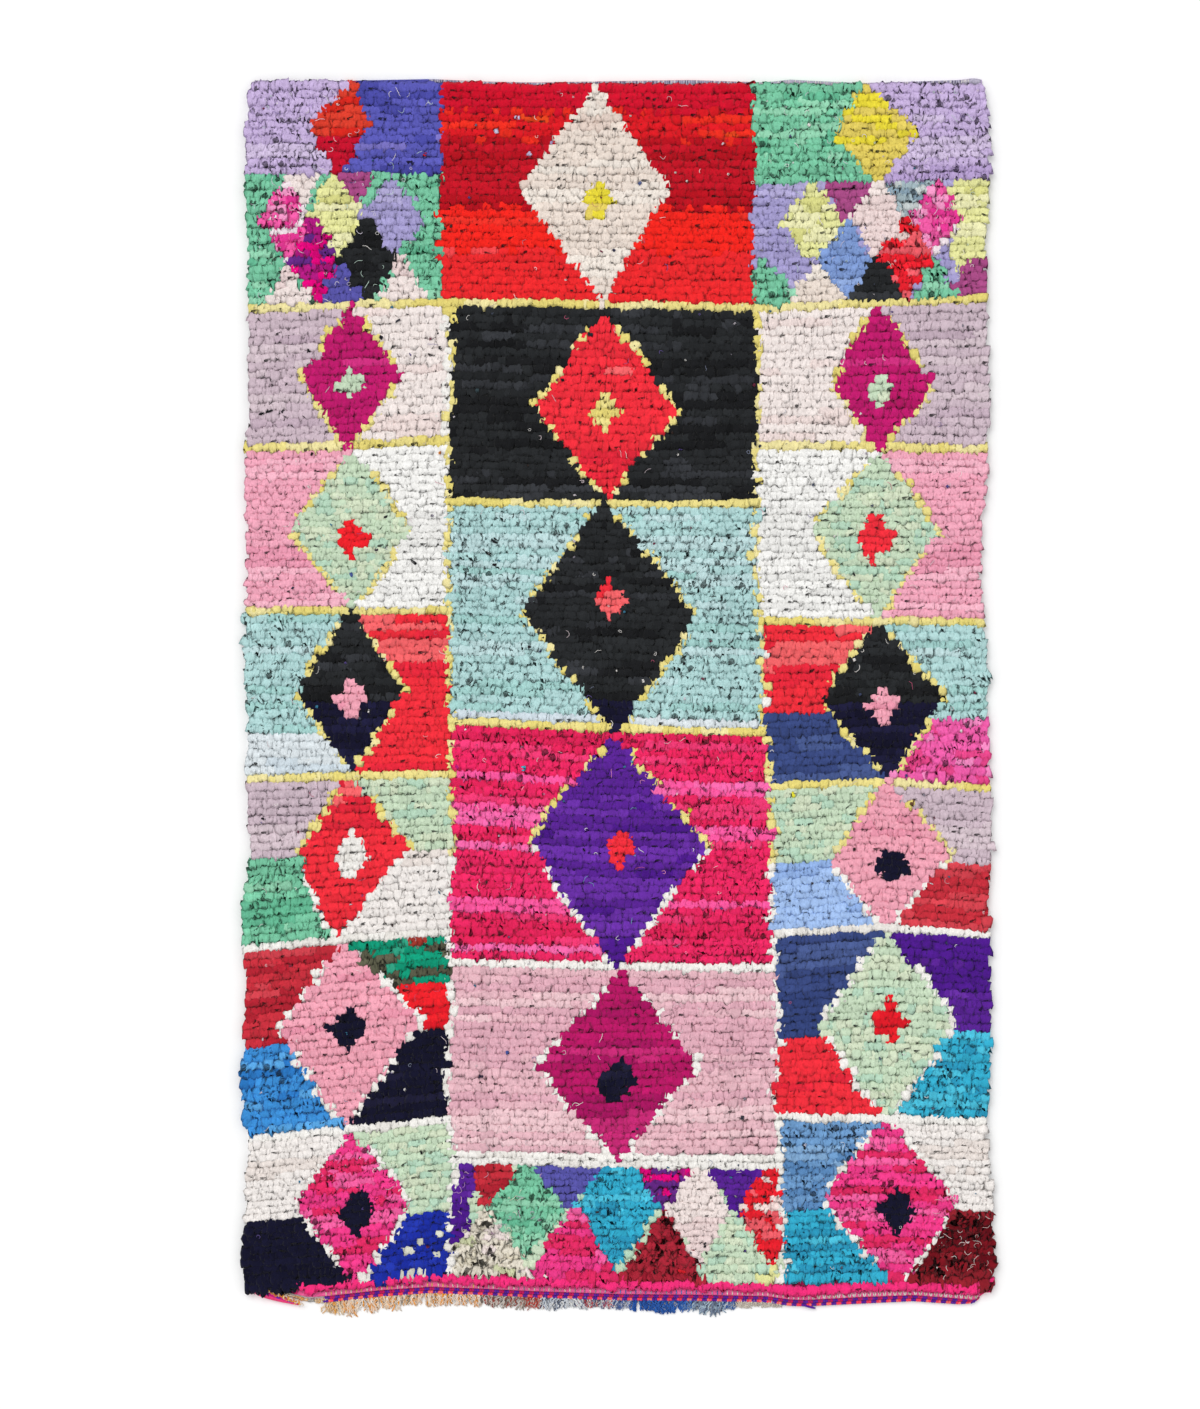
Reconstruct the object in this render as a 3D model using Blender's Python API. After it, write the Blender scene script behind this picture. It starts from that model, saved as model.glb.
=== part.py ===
"""A boucherouite rug lying flat on its back, in metres, +Z up.

The knotted body with its flat-woven end, the two-colour twined edging along its lower end, and the
comb of warp ends that hangs out past the edging are three closed solids, a small gap apart. X runs
across the rug, +Y points to its upper end, and the underside lies on Z = 0. The outline is uneven,
as loom-tight rag weaving is, so each edge is a straight line with a short table of how far it strays.
"""

import math

import bmesh
import bpy
from mathutils import Matrix, Vector

# Driving dimensions, in metres
RUG_WIDTH = 1.506  # between the mean lines of the two side edges
UPPER_END = 1.246  # mean line of the upper end
LOWER_END = -1.238  # mean line of the flat-woven lower end
PILE_THICKNESS = 0.022  # floor to the top of the flattened pile
PILE_WAVE = 0.0015  # how much the pile's top rises and falls
EDGE_THICKNESS = 0.008  # where the pile has thinned out at an edge
SHOULDER_THICKNESS = 0.017  # just inside an edge
SHOULDER_INSET = 0.010
SOFT_EDGE_INSET = 0.034  # how far in from an edge the pile is at full thickness
BAND_WIDTH = 0.011  # the flat-woven strip at the lower end
BAND_THICKNESS = 0.005
GAP = 0.0003  # between neighbouring pieces
EDGING_THICKNESS = 0.009
FRINGE_THICKNESS = 0.005
FRINGE_SPINE = 0.003  # the strip that all the warp ends grow from
FRINGE_PITCH = 0.0125  # from one group of warp ends to the next
FRINGE_GROUP = 0.0095  # width of one group at its root
FRINGE_START = -0.662
FRINGE_END = 0.326
ROW_STEPS = 40  # rows of the body's top surface between its soft edges

# How far the side edges stand out from their mean lines, in millimetres, going down the rug.
SIDE_EDGES = (
    # (down from the upper end in metres, left edge, right edge)
    (0.00, -4, -6),
    (0.10, 4, 2),
    (0.18, 4, 6),
    (0.35, 0, -5),
    (0.51, -6, 0),
    (0.67, -2, 6),
    (0.84, 4, -6),
    (1.00, 0, -17),
    (1.17, 6, 2),
    (1.33, 0, 2),
    (1.49, 2, 8),
    (1.56, -9, 12),
    (1.66, 10, 4),
    (1.82, 2, 6),
    (1.99, 8, 10),
    (2.07, 10, -3),
    (2.15, -3, 0),
    (2.31, 4, 12),
    (2.40, 10, 16),
    (2.49, 2, 12),
)

# The two ends and the edging, going across the rug. The end columns are millimetres outwards from
# the mean line of that end, and the half-width is that of the twined edging, 0 where it has none.
ENDS = (
    # (across in metres, upper end, lower end, half-width of the edging)
    (-0.755, -8, -17, 0.0),
    (-0.742, -2, -15, 5.0),
    (-0.726, 0, -17, 14.0),
    (-0.702, 0, -22, 17.0),
    (-0.684, 1, -10, 10.0),
    (-0.668, 0, -2, 3.0),
    (-0.630, -2, 6, 3.0),
    (-0.596, 0, 4, 3.0),
    (-0.586, 1, 3, 6.5),
    (-0.486, 3, -8, 6.5),
    (-0.383, 5, -15, 6.5),
    (-0.270, 0, -11, 6.5),
    (-0.168, -2, -6, 6.5),
    (0.010, 1, 0, 6.5),
    (0.150, 3, 1, 6.5),
    (0.303, -2, 4, 6.5),
    (0.355, 4, 11, 6.0),
    (0.387, 2, 12, 6.0),
    (0.500, -3, 6, 6.5),
    (0.607, 0, 2, 6.5),
    (0.700, 3, 9, 5.5),
    (0.731, 7, 12, 2.5),
    (0.755, 2, -4, 0.0),
)

# How far the warp ends hang past the edging, in millimetres, going across the rug.
FRINGE_LENGTHS = (
    # (across in metres, length)
    (-0.670, 9),
    (-0.615, 14),
    (-0.575, 33),
    (-0.540, 35),
    (-0.495, 26),
    (-0.465, 36),
    (-0.380, 30),
    (-0.240, 31),
    (-0.115, 29),
    (-0.025, 20),
    (0.050, 26),
    (0.088, 35),
    (0.150, 27),
    (0.195, 36),
    (0.240, 18),
    (0.326, 9),
)


def read_table(table, column, at):
    """The value of a table's column at a place along its first column, on straight runs between rows."""
    rows = [(row[0], row[column]) for row in table]
    if at <= rows[0][0]:
        return rows[0][1]
    for (start, low), (end, high) in zip(rows, rows[1:]):
        if at <= end:
            return low + (high - low) * (at - start) / (end - start)
    return rows[-1][1]


def side_x(side, down):
    """X of the left (-1) or right (+1) edge, that far down from the upper end."""
    stray = read_table(SIDE_EDGES, 1 if side < 0 else 2, down) / 1000
    return side * (RUG_WIDTH / 2 + stray)


def upper_y(across):
    return UPPER_END + read_table(ENDS, 1, across) / 1000


def lower_y(across):
    return LOWER_END - read_table(ENDS, 2, across) / 1000


def edging_half_width(across):
    return read_table(ENDS, 3, across) / 1000


def edging_lower_y(across):
    """Y of the twined edging's lower side."""
    return lower_y(across) - GAP - 2 * edging_half_width(across)


def fabric(name, colour, roughness):
    material = bpy.data.materials.new(name)
    material.use_nodes = True
    shader = material.node_tree.nodes["Principled BSDF"]
    shader.inputs["Base Color"].default_value = (*colour, 1.0)
    shader.inputs["Roughness"].default_value = roughness
    shader.inputs["Metallic"].default_value = 0.0
    return material


def finish_object(name, bm, material):
    """Turns the bmesh into the named object, with its faces pointing out."""
    bmesh.ops.recalc_face_normals(bm, faces=bm.faces)
    mesh = bpy.data.meshes.new(name)
    bm.to_mesh(mesh)
    bm.free()
    mesh.materials.append(material)
    piece = bpy.data.objects.new(name, mesh)
    bpy.context.scene.collection.objects.link(piece)
    return piece


def body_columns():
    """Places across the lower end where the body has a column of points, from edge to edge."""
    columns = [row[0] for row in ENDS]
    for inset in (SHOULDER_INSET, SOFT_EDGE_INSET):
        columns += [columns[0] + inset, columns[-1] - inset]
    for start, end in zip(ENDS, ENDS[1:]):
        if end[0] - start[0] > 0.09:
            columns.append((start[0] + end[0]) / 2)
    return sorted(columns)


def body_rows():
    """Insets of the body's rows, each as (from the upper end, from the lower end), one of them None."""
    upper = [(inset, None) for inset in (0.0, SHOULDER_INSET, SOFT_EDGE_INSET)]
    pile_edge = BAND_WIDTH + 0.002
    lower = [
        (None, inset)
        for inset in (pile_edge + SOFT_EDGE_INSET, pile_edge + SHOULDER_INSET, pile_edge, BAND_WIDTH, 0.0)
    ]
    return upper, lower


def edge_limit(inset):
    """Greatest thickness of the pile at that distance from an edge."""
    if inset >= SOFT_EDGE_INSET:
        return PILE_THICKNESS + PILE_WAVE
    if inset >= SHOULDER_INSET:
        share = (inset - SHOULDER_INSET) / (SOFT_EDGE_INSET - SHOULDER_INSET)
        return SHOULDER_THICKNESS + (PILE_THICKNESS - SHOULDER_THICKNESS) * share
    return EDGE_THICKNESS + (SHOULDER_THICKNESS - EDGE_THICKNESS) * inset / SHOULDER_INSET


def pile_height(x, y):
    """Top of the pile: slow swells, as knots of thicker and thinner rag leave them."""
    swell = math.sin(9.0 * x + 2.0 * math.sin(3.1 * y)) + math.sin(7.0 * y - 1.5 * math.sin(4.3 * x))
    return PILE_THICKNESS + PILE_WAVE * 0.5 * swell


def make_body():
    """The knotted body: a grid over the uneven outline, raised to the pile's top, flat underneath."""
    columns = body_columns()
    upper, lower = body_rows()
    rows = len(upper) + ROW_STEPS + len(lower)
    bm = bmesh.new()
    bmesh.ops.create_grid(bm, x_segments=len(columns) - 1, y_segments=rows - 1, size=1.0)
    points = sorted(bm.verts, key=lambda v: (-round(v.co.y, 5), round(v.co.x, 5)))
    heights = {}
    left_end, right_end = columns[0], columns[-1]
    for row in range(rows):
        for column, place in enumerate(columns):
            top, bottom = upper_y(place), lower_y(place)
            if row < len(upper):
                y = top - upper[row][0]
            elif row >= rows - len(lower):
                y = bottom + lower[row - rows + len(lower)][1]
            else:
                share = (row - len(upper) + 1) / (ROW_STEPS + 1)
                y = (top - upper[-1][0]) * (1 - share) + (bottom + lower[0][1]) * share
            down = UPPER_END - y
            left, right = side_x(-1, down), side_x(1, down)
            if row == rows - 1:
                left, right = left_end, right_end
            x = left + (place - left_end) / (right_end - left_end) * (right - left)
            from_pile_end = y - bottom - BAND_WIDTH - 0.002
            height = min(
                pile_height(x, y), edge_limit(x - left), edge_limit(right - x), edge_limit(top - y)
            )
            if from_pile_end < -0.0005:
                height = BAND_THICKNESS
            else:
                height = min(height, edge_limit(max(from_pile_end, 0.0)))
            vertex = points[row * len(columns) + column]
            vertex.co = Vector((x, y, 0.0))
            heights[vertex] = height
    underside = list(bm.faces)
    raised = bmesh.ops.extrude_face_region(bm, geom=underside)
    plan = {(round(v.co.x, 6), round(v.co.y, 6)): height for v, height in heights.items()}
    for vertex in (item for item in raised["geom"] if isinstance(item, bmesh.types.BMVert)):
        vertex.co.z = plan[(round(vertex.co.x, 6), round(vertex.co.y, 6))]
    bmesh.ops.dissolve_faces(bm, faces=[f for f in bm.faces if all(abs(v.co.z) < 1e-9 for v in f.verts)])
    return finish_object("rug_body", bm, fabric("rag_pile", (0.62, 0.30, 0.34), 0.95))


def edging_section(across):
    """The edging's flattened octagon at one place across the rug, flat on the floor."""
    half = edging_half_width(across)
    middle = lower_y(across) - GAP - half
    thickness = EDGING_THICKNESS * (1.5 if half > 0.009 else 1.0)
    share = ((0.55, 0.0), (1.0, 0.3), (1.0, 0.7), (0.55, 1.0), (-0.55, 1.0), (-1.0, 0.7), (-1.0, 0.3), (-0.55, 0.0))
    return [Vector((across, middle + half * out, thickness * up)) for out, up in share]


def make_edging():
    """The twined edging: one section at each column of the ends table, joined and capped."""
    places = [place for place in body_columns() if edging_half_width(place) > 0.002]
    bm = bmesh.new()
    rings = [[bm.verts.new(point) for point in edging_section(place)] for place in places]
    for near, far in zip(rings, rings[1:]):
        for index in range(len(near)):
            after = (index + 1) % len(near)
            bm.faces.new((near[index], near[after], far[after], far[index]))
    bm.faces.new(reversed(rings[0]))
    bm.faces.new(rings[-1])
    return finish_object("twined_edging", bm, fabric("edging_yarn", (0.55, 0.08, 0.32), 0.85))


def fringe_stations():
    """Across the fringe: every place where its plan has a corner, with the number of the group there."""
    groups = int((FRINGE_END - FRINGE_START) / FRINGE_PITCH)
    places = []
    for group in range(groups):
        start = FRINGE_START + group * FRINGE_PITCH
        places += [(start, group), (start + FRINGE_GROUP, None)]
    breaks = [(row[0], None) for row in ENDS if FRINGE_START < row[0] < places[-1][0]]
    for place, _ in breaks:
        if all(abs(place - other[0]) > 0.0008 for other in places):
            inside = [p for p in places if p[1] is not None and p[0] < place < p[0] + FRINGE_GROUP]
            if not inside:
                places.append((place, None))
    return sorted(places)


def make_fringe():
    """The comb of warp ends: a narrow spine under the edging with one tapering tongue for each group."""
    stations = fringe_stations()
    bm = bmesh.new()
    upper_line, lower_line = [], []
    for place, _ in stations:
        y = edging_lower_y(place) - GAP - 0.0006
        upper_line.append(bm.verts.new((place, y, 0.0)))
        lower_line.append(bm.verts.new((place, y - FRINGE_SPINE, 0.0)))
    for index in range(len(stations) - 1):
        bm.faces.new((upper_line[index], lower_line[index], lower_line[index + 1], upper_line[index + 1]))
        place, group = stations[index]
        if group is None:
            continue
        length = read_table(FRINGE_LENGTHS, 1, place) / 1000
        length *= 0.9 + 0.1 * math.sin(2.4 * group)
        lean = 0.002 * math.sin(1.7 * group)
        left, right = lower_line[index], lower_line[index + 1]
        tip_y = min(left.co.y, right.co.y) - max(length - FRINGE_SPINE, 0.004)
        tip_left = bm.verts.new((left.co.x + 0.0018 + lean, tip_y, 0.0))
        tip_right = bm.verts.new((right.co.x - 0.0018 + lean, tip_y, 0.0))
        bm.faces.new((left, tip_left, tip_right, right))
    raised = bmesh.ops.extrude_face_region(bm, geom=list(bm.faces))
    for item in raised["geom"]:
        if isinstance(item, bmesh.types.BMVert):
            item.co.z = FRINGE_THICKNESS
    return finish_object("warp_fringe", bm, fabric("warp_yarn", (0.74, 0.60, 0.42), 0.9))


def centre_on_origin(pieces):
    """Moves the meshes together so that the middle of their box in plan is the origin."""
    points = [vertex.co for piece in pieces for vertex in piece.data.vertices]
    middle = [(min(p[axis] for p in points) + max(p[axis] for p in points)) / 2 for axis in (0, 1)]
    for piece in pieces:
        piece.data.transform(Matrix.Translation((-middle[0], -middle[1], 0.0)))


for leftover in list(bpy.data.objects):
    bpy.data.objects.remove(leftover)

centre_on_origin([make_body(), make_edging(), make_fringe()])
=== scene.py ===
"""The looks of a boucherouite rug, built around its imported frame: the woven ground, about twenty thousand
knots of torn jersey in five bands of rows, the flat-woven ends, the twined edging and the warp fringe.

The design is charted the way a weaver counts it, in centimetres across from the left edge and down from the
upper end. Rows of knots sag and tilt as they do on a hand loom, and the chart goes with them.
"""

import math

import bmesh
import bpy
import numpy as np
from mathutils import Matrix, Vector


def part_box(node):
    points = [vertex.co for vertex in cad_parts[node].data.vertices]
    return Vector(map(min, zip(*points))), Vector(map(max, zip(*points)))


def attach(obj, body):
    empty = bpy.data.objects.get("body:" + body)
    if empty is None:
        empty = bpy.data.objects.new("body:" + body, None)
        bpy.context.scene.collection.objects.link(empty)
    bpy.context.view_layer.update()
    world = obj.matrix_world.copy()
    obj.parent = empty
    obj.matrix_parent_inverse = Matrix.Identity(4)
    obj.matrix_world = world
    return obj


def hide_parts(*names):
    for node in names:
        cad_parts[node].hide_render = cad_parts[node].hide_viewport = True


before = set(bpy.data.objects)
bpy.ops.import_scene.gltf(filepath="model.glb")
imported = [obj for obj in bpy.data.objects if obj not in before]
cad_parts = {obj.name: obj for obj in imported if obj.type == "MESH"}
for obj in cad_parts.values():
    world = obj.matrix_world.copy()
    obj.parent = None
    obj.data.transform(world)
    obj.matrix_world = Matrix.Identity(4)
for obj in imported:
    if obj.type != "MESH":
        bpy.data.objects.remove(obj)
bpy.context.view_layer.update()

# The rug's own measures, in metres unless a name says otherwise.
BODY_LOW, BODY_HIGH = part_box("rug_body")
UPPER_END = BODY_HIGH.y - 0.007  # mean line of the upper end
MIDDLE = (BODY_LOW.x + BODY_HIGH.x) / 2 - 0.002
RUG_WIDTH = 1.506
LOWER_END = UPPER_END - 2.484  # mean line of the flat-woven lower end
GROUND_THICKNESS = 0.005
FLOOR = -0.0006
KNOTS_ACROSS = 137
ROWS_TO_A_PIECE = 32
KNOT_WIDTH = RUG_WIDTH / KNOTS_ACROSS

# How far the side edges stand out from their mean lines, in millimetres, going down the rug.
SIDE_EDGES = (
    # (down from the upper end in metres, left edge, right edge)
    (0.00, -4, -6),
    (0.10, 4, 2),
    (0.18, 4, 6),
    (0.35, 0, -5),
    (0.51, -6, 0),
    (0.67, -2, 6),
    (0.84, 4, -6),
    (1.00, 0, -17),
    (1.17, 6, 2),
    (1.33, 0, 2),
    (1.49, 2, 8),
    (1.56, -9, 12),
    (1.66, 10, 4),
    (1.82, 2, 6),
    (1.99, 8, 10),
    (2.07, 10, -3),
    (2.15, -3, 0),
    (2.31, 4, 12),
    (2.40, 10, 16),
    (2.49, 2, 12),
)

# The ends, going across: millimetres outwards from the mean line of each end.
ENDS = (
    # (across from the middle in metres, upper end, lower end)
    (-0.755, -8, -17),
    (-0.726, 0, -17),
    (-0.702, 0, -22),
    (-0.684, 1, -10),
    (-0.668, 0, -2),
    (-0.630, -2, 6),
    (-0.586, 1, 3),
    (-0.486, 3, -8),
    (-0.383, 5, -15),
    (-0.270, 0, -11),
    (-0.168, -2, -6),
    (0.010, 1, 0),
    (0.150, 3, 1),
    (0.303, -2, 4),
    (0.355, 4, 11),
    (0.387, 2, 12),
    (0.500, -3, 6),
    (0.607, 0, 2),
    (0.700, 3, 9),
    (0.731, 7, 12),
    (0.755, 2, -4),
)

# How far a row hangs below straight, in millimetres, at seven places across.
SAG_PLACES = (0.0, 19.7, 39.4, 72.0, 106.8, 128.3, 150.9)
SAG = (
    # (down in centimetres, at each of the places across)
    (0.0, (0, 0, 4, 6, 6, 6, 6)),
    (45.7, (8, 0, -6, -2, 6, -4, -14)),
    (75.0, (4, -2, -12, 0, -4, 0, 6)),
    (85.9, (0, 0, -4, 0, 0, 0, 0)),
    (108.7, (-12, -12, -12, 0, 10, 10, 10)),
    (132.2, (-12, -12, -14, 0, 12, 4, 4)),
    (142.5, (-10, -14, -20, 0, 8, -4, 12)),
    (175.5, (28, 10, -8, -4, -2, -18, 0)),
    (181.0, (28, 10, -8, 0, 6, -16, 0)),
    (212.8, (35, 16, -6, 0, -14, -8, -2)),
    (220.4, (30, 12, -8, 0, 4, -6, 0)),
    (245.6, (24, 10, -12, 2, 6, 2, 18)),
)

# The spacing of the rows, in millimetres, down to each place in centimetres.
ROW_SPACING = (
    (45.0, 15.4),
    (75.0, 17.0),
    (108.0, 14.4),
    (142.0, 16.2),
    (180.0, 15.6),
    (213.0, 16.0),
    (244.6, 13.9),
)
LAST_ROW = 245.9  # centimetres down: the pink row that finishes the pile
LAST_SPACING = 1.6
BAND_WIDTH = 0.0125  # the flat-woven band below the last row
CORNER_BAND = 0.0040  # what shows of it past the turned-up corner


def read_table(table, column, at):
    """The value of a table's column at a place along its first column, on straight runs between rows."""
    if at <= table[0][0]:
        return table[0][column]
    for low, high in zip(table, table[1:]):
        if at <= high[0]:
            share = (at - low[0]) / (high[0] - low[0])
            return low[column] + (high[column] - low[column]) * share
    return table[-1][column]


def sag(across, down):
    """Metres that the row hangs low there; across and down are in centimetres."""
    steps = [np.interp(across, SAG_PLACES, row[1]) for row in SAG]
    return float(np.interp(down, [row[0] for row in SAG], steps)) / 1000


def side_x(side, down):
    return MIDDLE + side * (RUG_WIDTH / 2 + read_table(SIDE_EDGES, 1 if side < 0 else 2, down) / 1000)


def upper_y(x):
    return UPPER_END + read_table(ENDS, 1, x - MIDDLE) / 1000


def lower_y(x):
    return LOWER_END - read_table(ENDS, 2, x - MIDDLE) / 1000


def on_rug(across, down):
    """The place in plan, in metres, of a knot charted at centimetres across and down."""
    left, right = side_x(-1, down / 100), side_x(1, down / 100)
    x = left + (right - left) * across / (RUG_WIDTH * 100)
    return x, UPPER_END - down / 100 - sag(across, down)


# ---------------------------------------------------------------- the rags
# kind 0 is smooth jersey, 1 is ruffled jersey, 2 is shaggy yarn. run is how many knots one strip makes.
RAGS = {
    # name: (kind, run, uneven, ((shade, weight), ...))
    "lilac": (1, 30, 0.035, (("C9B4DE", 8), ("D3C2E2", 3), ("BBA4D4", 1))),
    "periwinkle": (0, 12, 0.09, (("5C5CB8", 6), ("4B4CA6", 3), ("7B74C4", 1))),
    "brick": (0, 8, 0.06, (("D9281E", 4), ("E0402E", 1))),
    "scarlet": (0, 8, 0.06, (("C8102E", 4), ("D81E34", 1))),
    "mint": (1, 6, 0.06, (("7CC9A5", 7), ("94D4B2", 3), ("66B894", 2))),
    "sugar": (1, 0.8, 0.08, (("F25DA8", 5), ("F79CCB", 2), ("F0E2E8", 1), ("E83A96", 3))),
    "shell": (0, 20, 0.03, (("F0E2DE", 6), ("EBD6D4", 2))),
    "lemon": (0, 9, 0.04, (("E6E6A0", 6), ("EDEBB8", 3), ("D9D88A", 1))),
    "plum": (0, 10, 0.06, (("A94C86", 5), ("964278", 2))),
    "lavender": (0, 10, 0.05, (("A79FD0", 6), ("B6AEDA", 2))),
    "black": (0, 8, 0.16, (("26282A", 8), ("1B1C1E", 3), ("34363A", 2))),
    "berry_mix": (1, 2, 0.09, (("E5007E", 5), ("6A2A8A", 3), ("B01880", 2))),
    "violet_blue": (0, 8, 0.07, (("5A57AA", 6), ("6B62B4", 2))),
    "cream": (0, 16, 0.03, (("EBDDD2", 7), ("F0E6DC", 3), ("E2CFC4", 1))),
    "mauve": (0, 45, 0.04, (("CDB9C4", 7), ("D6C4CC", 3), ("C3ADBB", 2))),
    "rose_white": (0, 30, 0.025, (("F1E6E2", 7), ("EDDCD8", 2))),
    "magenta": (0, 20, 0.06, (("C21B6E", 7), ("B81765", 3), ("D03080", 1))),
    "pink": (0, 30, 0.03, (("F2A9BE", 7), ("F5B6C8", 2), ("EC9CB4", 1))),
    "white": (0, 30, 0.02, (("F4F3F0", 7), ("ECEBE8", 2))),
    "pale_green": (0, 1.5, 0.04, (("C8DCC0", 7), ("D4E0C4", 3), ("B8D8C0", 2))),
    "aqua": (1, 20, 0.035, (("B4D9D8", 7), ("A8D4D0", 3), ("C2DFE0", 2))),
    "ice": (0, 20, 0.03, (("DDE5E9", 7), ("D0DCE4", 2))),
    "coral_red": (0, 22, 0.06, (("F3303E", 7), ("F9686C", 2), ("E6283C", 3))),
    "navy": (0, 12, 0.12, (("16152E", 7), ("1E1D3C", 2))),
    "rose_pink": (0, 10, 0.04, (("F2A6B8", 6), ("EC98AE", 2))),
    "linen": (0, 30, 0.025, (("F0EAE6", 7), ("E8DED8", 2))),
    "crimson": (0, 10, 0.08, (("C9303E", 6), ("B62434", 3), ("D64450", 1))),
    "sky": (1, 8, 0.08, (("3F93DC", 6), ("5AA6E2", 2), ("2E7CC8", 3))),
    "moss_mix": (1, 2, 0.10, (("109A78", 6), ("5A5A48", 2), ("34A888", 2), ("A83A30", 1))),
    "tomato": (0, 14, 0.06, (("F2222C", 7), ("E01A28", 2), ("F84A4C", 1))),
    "ink": (0, 20, 0.14, (("13132A", 8), ("1C1B34", 2))),
    "royal_mix": (0, 0.6, 0.10, (("1B2D9E", 12), ("2438AE", 4), ("D8D8C8", 1))),
    "hot_pink": (1, 9, 0.07, (("F03D8C", 6), ("E52C66", 3), ("F662A4", 2))),
    "mustard": (0, 5, 0.05, (("E3CE62", 5), ("E8D83C", 3))),
    "butter": (0, 4, 0.035, (("EBDD8C", 5), ("E6D67A", 2), ("F0E4A4", 2))),
    "chalk": (0, 4, 0.02, (("F2EFEA", 5), ("E8E4DE", 2))),
    "raspberry": (1, 16, 0.055, (("F02A66", 8), ("E6255C", 3), ("F43C78", 2))),
    "bubblegum": (1, 16, 0.05, (("FF5AA2", 6), ("FA6CB0", 2))),
    "purple": (0, 14, 0.09, (("5B2496", 7), ("4E1A8C", 3), ("6A30A6", 2))),
    "dusty_pink": (0, 40, 0.035, (("E8B9C3", 7), ("E2AEBC", 3), ("EEC8CE", 2))),
    "old_magenta": (0, 14, 0.07, (("B81765", 7), ("A81460", 3), ("C82A76", 1))),
    "shag_cream": (2, 2, 0.06, (("E8E0D0", 7), ("DCD4C0", 2), ("EEE0DC", 2), ("D4D8B0", 1))),
    "cyan": (1, 6, 0.08, (("35AECF", 6), ("4CC0DC", 3), ("2C98BC", 3))),
    "garnet_mix": (2, 3, 0.10, (("B0283A", 6), ("981C2E", 3), ("C8485A", 1))),
    "slate": (0, 12, 0.09, (("3A4A80", 7), ("34447A", 3), ("4A5C92", 1))),
    "fuchsia_mix": (1, 2, 0.06, (("F060AC", 6), ("F48CC4", 2), ("E8488C", 2))),
    "light_blue": (0, 14, 0.05, (("A4C2F0", 7), ("94B4E8", 2))),
    "slate_blue": (1, 8, 0.06, (("6F9CCB", 6), ("84ACD4", 2), ("5C8ABC", 2))),
    "wine_shag": (2, 5, 0.10, (("7E1420", 10), ("6A0E1A", 4), ("96222E", 2), ("D8C8C4", 0.35))),
    "grey_blue_mix": (1, 2, 0.07, (("A9BDC4", 6), ("8CA4B4", 2), ("C8D0D0", 2))),
    "blue": (0, 8, 0.06, (("7F9BD2", 6), ("90AADC", 2))),
    "red_mix": (1, 2, 0.08, (("E8202E", 7), ("F0606A", 2), ("F0D8D4", 0.8))),
    "deep_red": (0, 25, 0.06, (("D2122E", 6), ("C80E28", 2))),
    "orange_red": (0, 12, 0.06, (("EC2E20", 6), ("E8481E", 2), ("DC1A24", 3))),
    "dark_red": (0, 25, 0.07, (("B8101F", 6), ("C41426", 3))),
    "bright_red": (0, 25, 0.05, (("F4261E", 6), ("F03228", 3))),
    "coral": (0, 25, 0.05, (("EF2A2E", 6), ("F2484C", 2))),
    "berry_stripe": (0, 14, 0.05, (("F0307A", 6), ("F44A8E", 2), ("E62470", 2))),
}

# ---------------------------------------------------------------- the chart
# Each compartment has a ground in four quarters round its lozenge, which change over at a level on
# each side. Widths and levels are centimetres across and down.
PANELS = (
    # (left, right, top, bottom, (upper left, lower left, level), (upper right, lower right, level))
    (0, 39.2, 0, 18.4, ("lilac", "lilac", 90), ("periwinkle", "periwinkle", 90)),
    (0, 39.4, 46.4, 74.2, ("mauve", "mauve", 90), ("rose_white", "rose_white", 90)),
    (0, 40.8, 75.8, 107.9, ("pink", "pink", 190), ("white", "white", 190)),
    (0, 40.9, 109.5, 141.7, ("aqua", "ice", 133.9), ("coral_red", "coral_red", 190)),
    (0, 41.0, 143.3, 174.1, ("mauve", "mint", 158.6), ("pale_green", "linen", 158.2)),
    (0, 41.2, 175.7, 212.0, ("crimson", "sky", 194.8), ("tomato", "ink", 194.8)),
    (0, 41.6, 213.6, 245.0, ("linen", "ink", 230.2), ("pale_green", "royal_mix", 231.0)),
    (39.2, 103.3, 0, 44.9, ("deep_red", "deep_red", 90), ("deep_red", "deep_red", 90)),
    (40.6, 103.9, 46.5, 85.1, ("black", "black", 190), ("black", "black", 190)),
    (40.8, 105.2, 86.7, 131.4, ("aqua", "ice", 129.9), ("aqua", "ice", 129.9)),
    (41.0, 106.2, 133.0, 180.2, ("raspberry", "raspberry", 290), ("raspberry", "raspberry", 290)),
    (41.2, 107.8, 181.8, 219.6, ("dusty_pink", "dusty_pink", 290), ("dusty_pink", "dusty_pink", 290)),
    (103.3, 151, 0, 20.6, ("mint", "mint", 90), ("lilac", "lilac", 90)),
    (103.9, 151, 46.5, 74.2, ("rose_white", "rose_white", 90), ("mauve", "mauve", 90)),
    (104.9, 151, 75.8, 107.9, ("white", "white", 190), ("pink", "pink", 190)),
    (105.6, 151, 109.5, 141.7, ("coral_red", "slate", 128.5), ("aqua", "fuchsia_mix", 130.0)),
    (106.4, 151, 143.3, 174.1, ("pale_green", "light_blue", 160.2), ("mauve", "crimson", 159.4)),
    (107.6, 151, 175.7, 212.0, ("slate", "coral_red", 196.0), ("purple", "cyan", 194.0)),
    (108.4, 151, 213.6, 245.0, ("slate_blue", "cyan", 229.8), ("linen", "wine_shag", 230.4)),
)

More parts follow.
